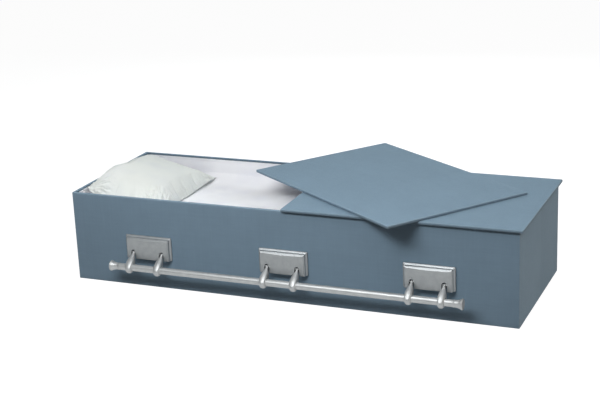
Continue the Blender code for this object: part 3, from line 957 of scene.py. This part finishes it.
def pocket():
    """The hollow in the plate's back, clear of a cheek on each side of each notch."""
    side = PLATE_LENGTH / 2 - POCKET_INSET
    top = PLATE_HEIGHT / 2 - POCKET_INSET
    base = -PLATE_HEIGHT / 2 + POCKET_BASE
    over = PIVOT_ABOVE_PLATE_BASE - PLATE_HEIGHT / 2 + NOTCH_RISE + PLATE_WALL
    cheek = NOTCH_WIDTH / 2 + NOTCH_CHEEK
    points = [(-side, top), (-side, base)]
    for centre in (-ARM_SPREAD / 2, ARM_SPREAD / 2):
        points += [(centre - cheek, base), (centre - cheek, over),
                   (centre + cheek, over), (centre + cheek, base)]
    points += [(side, base), (side, top)]
    depth = PLATE_DEPTH - PLATE_CAMBER - PLATE_WALL
    return skin([[Vector((x, y, z)) for x, z in points] for y in (PLATE_DEPTH, -depth)])


def carved(bm, joined=(), cut=()):
    """Add bodies, cut others away, and return the finished mesh."""
    body = bpy.data.objects.new("body", to_mesh("body", bm))
    bpy.context.scene.collection.objects.link(body)
    used = [body]
    steps = [("UNION", other) for other in joined] + [("DIFFERENCE", other) for other in cut]
    for operation, other in steps:
        tool = bpy.data.objects.new("tool", to_mesh("tool", other))
        bpy.context.scene.collection.objects.link(tool)
        carving = body.modifiers.new("carving", "BOOLEAN")
        carving.operation = operation
        carving.solver = "EXACT"
        carving.object = tool
        used.append(tool)
    bpy.context.view_layer.update()
    graph = bpy.context.evaluated_depsgraph_get()
    mesh = bpy.data.meshes.new_from_object(body.evaluated_get(graph))
    for obj in used:
        bpy.data.objects.remove(obj, do_unlink=True)
    return mesh


def lathe(rows, sides):
    """Turn a profile of X and radius about the X axis."""
    angles = [2 * math.pi * i / sides for i in range(sides)]
    return skin([[Vector((x, radius * math.cos(a), radius * math.sin(a))) for a in angles]
                 for x, radius in rows])


def block(low, high):
    bm = bmesh.new()
    bmesh.ops.create_cube(bm, size=1.0)
    low, high = Vector(low), Vector(high)
    bmesh.ops.scale(bm, vec=high - low, verts=bm.verts)
    bmesh.ops.translate(bm, vec=(low + high) / 2, verts=bm.verts)
    return bm


def quarter_sine(t):
    """0 up to 0 and 1 from 1, steep at first."""
    return math.sin(math.pi / 2 * min(max(t, 0.0), 1.0))


def closing(share, start):
    """1 up to the start, then round to 0 at the arm's end."""
    return (1 - (max(share - start, 0.0) / (1 - start)) ** 3) ** 0.45


def arm_ring(share, sides=36):
    """A ring across the arm: oval at the neck, full and squarish where it holds the bar.

    Share 0 is the pin and ARM_BAR_SHARE the middle of the bar; a round head lies below 0.
    """
    grown = (share - ARM_SWELL_START) / (ARM_WIDEST_SHARE - ARM_SWELL_START)
    half_x = NECK_HALF + (ARM_WIDTH / 2 - NECK_HALF) * quarter_sine(grown)
    half_x *= closing(share, ARM_WIDEST_SHARE)
    full = BAR_RADIUS + ARM_WALL
    deepened = quarter_sine(share / ARM_DEEPEST_SHARE) ** 1.6
    half_n = NECK_THICKNESS / 2 + (full - NECK_THICKNESS / 2) * deepened
    half_n *= closing(share, ARM_BAR_SHARE)
    if share < 0:
        head = math.sqrt(max(0.0, 1 - (share / ARM_HEAD_SHARE) ** 2))
        half_x *= 0.25 + 0.75 * head
        half_n *= head
    run = Vector((BAR_REACH, -BAR_DROP))
    point = run * (share / ARM_BAR_SHARE)
    along = run.normalized()
    normal = Vector((-along.y, along.x))
    power = ARM_NECK_SQUARENESS + (ARM_BAR_SQUARENESS - ARM_NECK_SQUARENESS) * deepened
    ring = []
    for i in range(sides):
        cos, sin = math.cos(2 * math.pi * i / sides), math.sin(2 * math.pi * i / sides)
        square = (abs(cos) ** power + abs(sin) ** power) ** (-1 / power)
        crest = 1 + ARM_CREST * max(0.0, sin) * (1 - abs(cos * square))
        out, up = point + normal * (half_n * sin * square * crest)
        ring.append(Vector((half_x * cos * square, -out, up)))
    return ring


def arm_mesh():
    """A horn shaped arm on its cross pin, with a heel behind and the bar's hole."""
    first_share = ARM_HEAD_SHARE * 0.99
    head = [-first_share * math.cos(math.pi / 2 * i / 6) for i in range(6)]
    shares = head + [ARM_LAST_SHARE * math.sin(math.pi / 2 * i / 34) for i in range(35)]
    pivot_out = PLATE_DEPTH - PIN_COVER - PIN_RADIUS - PIN_PLAY
    pin_half = NOTCH_WIDTH / 2 + PIN_INTO_CHEEK
    pin = lathe([(-pin_half, PIN_NECKED), (pin_half, PIN_NECKED)], 24)
    heel = block((-HEEL_WIDTH / 2, 0, -HEEL_DROP), (HEEL_WIDTH / 2, pivot_out - FIT_GAP, 0))
    bore = BAR_RADIUS + FIT_GAP
    hole = lathe([(-ARM_WIDTH, bore), (ARM_WIDTH, bore)], 64)
    bmesh.ops.translate(hole, vec=(0, -BAR_REACH, -BAR_DROP), verts=hole.verts)
    mesh = carved(skin([arm_ring(share) for share in shares]), joined=[pin, heel], cut=[hole])
    mesh.shade_smooth()
    mesh.set_sharp_from_angle(angle=math.radians(35))
    return mesh


def tip_profile():
    """A bell: a collar, a waist and a flare with a rolled lip round a dished end."""
    flare = TIP_RADIUS - BAR_RADIUS
    collar = BAR_RADIUS + TIP_COLLAR
    spigot = BAR_RADIUS - BAR_WALL - FIT_GAP
    waist = BAR_RADIUS + EDGE_BREAK
    flared = TIP_LENGTH * TIP_FLARE_SHARE
    rows = [(-TIP_SPIGOT, spigot), (0.0, spigot), (0.0, collar - 0.0008), (0.0006, collar),
            (0.0036, collar), (0.0045, collar - 0.0007), (TIP_COLLAR_END, waist)]
    for i in range(1, 15):
        t = i / 14
        rows.append((TIP_COLLAR_END + (flared - TIP_COLLAR_END) * t,
                     waist + (flare - EDGE_BREAK) * (0.12 * t + 0.88 * t ** 2.4)))
    for i in range(1, 9):
        angle = math.pi * 0.62 * i / 8
        rows.append((flared + TIP_LIP * 1.7 * math.sin(angle),
                     TIP_RADIUS - TIP_LIP * (1 - math.cos(angle))))
    end = rows[-1][0]
    rows += [(end - 0.0008, BAR_RADIUS + flare * 0.25), (end - 0.0012, BAR_RADIUS * 0.8),
             (end + 0.0004, BAR_RADIUS * 0.45), (end + 0.0012, BAR_RADIUS * 0.1)]
    return rows


def copy_at(mesh, name, matrix):
    """A copy of a shared shape, moved in its own mesh."""
    made = mesh.copy()
    made.name = name
    made.transform(matrix)
    return made


def make_handle(side, cast, lit_silver, plate, arm, tip):
    """Three plates, and the bar on six arms, each in its node's place."""
    body = side + "_swing_bar"
    turn = 0.0 if side == "near" else math.pi
    facing = Matrix.Rotation(turn, 4, "Z")
    joint = next(j for j in frame["joints"] if j["name"] == side + "_bar_swing")
    line = Vector(joint["pos_m"])
    for station in ("head", "middle", "foot"):
        node = f"{side}_{station}_plate"
        low, high = corners(node)
        wall = high.y if side == "near" else low.y
        centre = Vector(((low.x + high.x) / 2, wall, (low.z + high.z) / 2))
        mesh = copy_at(plate, node + "_cast", Matrix.Translation(centre) @ facing)
        add_piece(node + "_cast", mesh, cast, "root", "satin_silver", node)
        for number in (1, 2):
            node = f"{side}_{station}_arm_{number}"
            low, high = corners(node)
            pin = Vector(((low.x + high.x) / 2, line.y, line.z))
            mesh = copy_at(arm, node + "_cast", Matrix.Translation(pin) @ facing)
            add_piece(node + "_cast", mesh, lit_silver, body, "satin_silver", node)
    low, high = corners(side + "_bar")
    centre = (low + high) / 2
    half = (high.x - low.x) / 2
    end = [(half - EDGE_BREAK, BAR_RADIUS), (half, BAR_RADIUS - EDGE_BREAK),
           (half, BAR_RADIUS - BAR_WALL)]
    rows = [(-x, radius) for x, radius in reversed(end)] + end
    tube = to_mesh("tube", lathe(rows, 72))
    tube.transform(Matrix.Translation(centre))
    add_piece(side + "_round_bar", tube, lit_silver, body, "satin_silver", side + "_bar")
    for station, way in (("head", -1), ("foot", 1)):
        node = f"{side}_bar_tip_{station}"
        start = centre + Vector((way * (half + FIT_GAP), 0, 0))
        aim = Matrix.Rotation(0.0 if way > 0 else math.pi, 4, "Z")
        mesh = copy_at(tip, node + "_turned", Matrix.Translation(start) @ aim)
        add_piece(node + "_turned", mesh, lit_silver, body, "satin_silver", node)


def make_hardware(cast, lit_silver):
    """Both handles, from one plate, one arm and one tip."""
    notches = [notch_cutter(side * ARM_SPREAD / 2) for side in (-1, 1)]
    plate = carved(plate_body(), cut=[pocket(), *notches])
    plate.shade_smooth()
    plate.set_sharp_from_angle(angle=math.radians(32))
    arm = arm_mesh()
    tip = to_mesh("tip", lathe(tip_profile(), 64), 38)
    for side in ("near", "far"):
        make_handle(side, cast, lit_silver, plate, arm, tip)


# Camera, floor and lights

def make_camera():
    """The photograph's view of the casket."""
    level = math.cos(CAMERA_ELEVATION)
    back = Vector((math.sin(CAMERA_AZIMUTH) * level, -math.cos(CAMERA_AZIMUTH) * level,
                   math.sin(CAMERA_ELEVATION)))
    right = Vector((0, 0, 1)).cross(back).normalized()
    up = back.cross(right)
    across = math.cos(CAMERA_ROLL) * right + math.sin(CAMERA_ROLL) * up
    upright = math.cos(CAMERA_ROLL) * up - math.sin(CAMERA_ROLL) * right
    camera = bpy.data.objects.new("camera", bpy.data.cameras.new("camera"))
    bpy.context.scene.collection.objects.link(camera)
    turn = Matrix((across, upright, back)).transposed().to_4x4()
    camera.matrix_world = Matrix.Translation(CAMERA_PLACE) @ turn
    camera.data.sensor_width = SENSOR_WIDTH
    camera.data.lens = FOCAL_PIXELS / PICTURE_PIXELS * SENSOR_WIDTH
    bpy.context.scene.camera = camera


def make_stage():
    """A pale paper floor, and a pale wall round it that neither lights nor shades."""
    finish = Finish("floor_paper", Roughness=0.7, Specular_IOR_Level=0.2)
    grain = finish.noise(finish.place(), 3.0, 2.0)
    colour = finish.mix(grain, rgb(*PAPER_DARK), rgb(*PAPER_LIGHT))
    finish.set(Base_Color=colour, Emission_Color=rgb(*WHITE), Emission_Strength=FLOOR_GLOW)
    flat = bmesh.new()
    bmesh.ops.create_grid(flat, x_segments=1, y_segments=1, size=FLOOR_HALF)
    bmesh.ops.translate(flat, vec=(0, 0, -FLOOR_DROP), verts=flat.verts)
    angles = [2 * math.pi * i / 48 for i in range(48)]
    circle = [(WALL_RADIUS * math.cos(a), WALL_RADIUS * math.sin(a)) for a in angles]
    round_wall = skin([[Vector((x, y, z)) for x, y in circle] for z in (WALL_LOW, WALL_HIGH)],
                      False, False)
    for name, shape in (("floor", flat), ("backdrop", round_wall)):
        stage = bpy.data.objects.new(name, to_mesh(name, shape))
        bpy.context.scene.collection.objects.link(stage)
        stage.data.materials.append(finish.material)
        stage.visible_diffuse = False
        if name == "backdrop":
            stage.visible_glossy = stage.visible_shadow = False


def soft_light(name, place, target, width, height, power, colour=WHITE):
    """A white or tinted panel of light that faces a point."""
    data = bpy.data.lights.new(name, "AREA")
    data.shape = "RECTANGLE"
    data.size, data.size_y = width, height
    data.energy = power
    data.color = colour
    light = bpy.data.objects.new(name, data)
    bpy.context.scene.collection.objects.link(light)
    light.location = place
    light.rotation_euler = (Vector(target) - Vector(place)).to_track_quat("-Z", "Y").to_euler()


def make_light():
    """A long strip above the near side, panels overhead, behind and at the foot, a dim card."""
    world = bpy.data.worlds.new("studio")
    bpy.context.scene.world = world
    world.use_nodes = True
    ground = world.node_tree.nodes["Background"]
    ground.inputs["Color"].default_value = rgb(*WHITE)
    ground.inputs["Strength"].default_value = WORLD_GLOW
    soft_light("key", (-0.25, -2.25, 2.35), (-0.1, -0.3, 0.2), 1.9, 0.6, 57)
    soft_light("overhead", (0.0, -1.3, 3.25), (0, -0.2, 0.2), 2.8, 1.1, 25)
    soft_light("back", (-0.8, 3.8, 2.2), (0, 0, 0.3), 2.4, 1.6, 62, COOL_LIGHT)
    soft_light("far_foot", (2.4, 0.9, 3.0), (0, 0, 0.2), 1.6, 1.6, 22, COOL_LIGHT)
    soft_light("front_card", (3.0, -1.6, 0.9), (0.2, -0.4, 0.1), 1.2, 1.4, 4)
    soft_light("foot_end", (4.3, 0.4, 0.9), (1.0, 0.0, 0.2), 1.8, 1.4, 37, WARM_LIGHT)
    bpy.context.scene.view_settings.view_transform = "Standard"


def main():
    make_camera()
    box_edges = ((0.0, BOX_LENGTH / 2), (0.0, BOX_WIDTH / 2), (BOX_HEIGHT / 2, BOX_HEIGHT / 2))
    make_cover(cover_cloth("cover_cloth", box_edges, hem_and_shade=box_seam_and_shade))
    panels = (("foot_panel", "foot_lid_panel", 0.0, 21.0),
              ("head_panel", "head_lid_panel", HEAD_LID_TURN, 47.0))
    for name, node, turn, seed in panels:
        low, high = corners(node)
        centre = (low + high) / 2
        edges = ((0.0, LID_LENGTH / 2), (0.0, LID_WIDTH / 2), (centre.z, LID_THICKNESS / 2))
        cloth = cover_cloth(name + "_cloth", edges, turn, centre, lid_hem_and_shade(low.z))
        make_lid(name, node, cloth, centre, turn, seed)
    bed_rim = corners("mattress")[1]
    # Painted shade: the lining walls get a darker copy of the bed's white.
    make_lining(white_cloth("lining_shaded_white", LINING_SHADED_WHITE, crinkle=420.0, depth=0.0003))
    make_bed(white_cloth("bed_white", BED_WHITE, crinkle=420.0, depth=0.0003, rim=bed_rim))
    make_pillow(white_cloth("pillow_white", PILLOW_WHITE, crinkle=520.0, depth=0.0004))
    cast = satin_metal("satin_silver", SILVER_DULL, SILVER_BRIGHT, metallic=0.80, smooth=0.42,
                       clouded=0.08, depth=0.00008)
    # Painted light: the arms, bar and tips take a lighter, less metallic copy of the same satin
    # silver.
    lit_silver = satin_metal("lit_silver_copy", LIT_SILVER_DULL, LIT_SILVER_BRIGHT, metallic=0.58,
                           smooth=0.43, clouded=0.03, depth=0.00003)
    make_hardware(cast, lit_silver)
    make_stage()
    make_light()


main()
